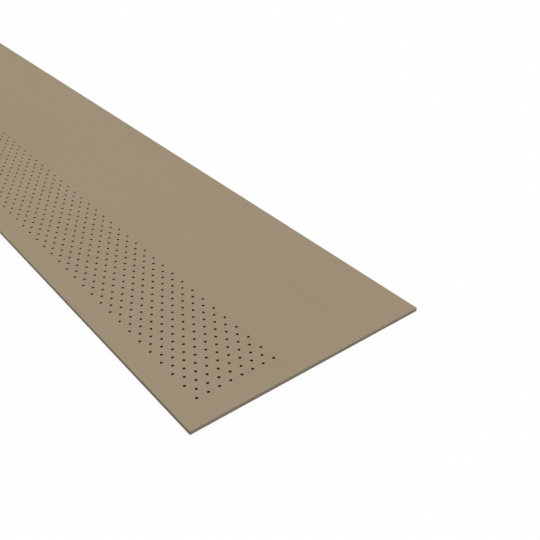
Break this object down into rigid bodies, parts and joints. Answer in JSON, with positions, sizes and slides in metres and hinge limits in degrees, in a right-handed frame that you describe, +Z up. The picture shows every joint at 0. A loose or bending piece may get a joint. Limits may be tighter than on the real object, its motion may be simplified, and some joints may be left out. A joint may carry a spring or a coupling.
{
  "type": "soffit vent",
  "caption": "Flat vented soffit board with a painted wood-grain face and a staggered band of small perforations along one long edge, which lets air into the eaves.",
  "frame": {"origin": "middle of the back face", "axes": "+X along the board towards the end that the picture shows, +Y across it from the vented edge to the plain edge, +Z up out of the painted face"},
  "size_m": [3.6576, 0.4064, 0.0063],
  "materials": {
    "painted_board": "matt tan paint with a faint wood grain on fibre cement"
  },
  "bodies": {
    "root": {"soffit_panel": "painted_board"}
  },
  "joints": []
}
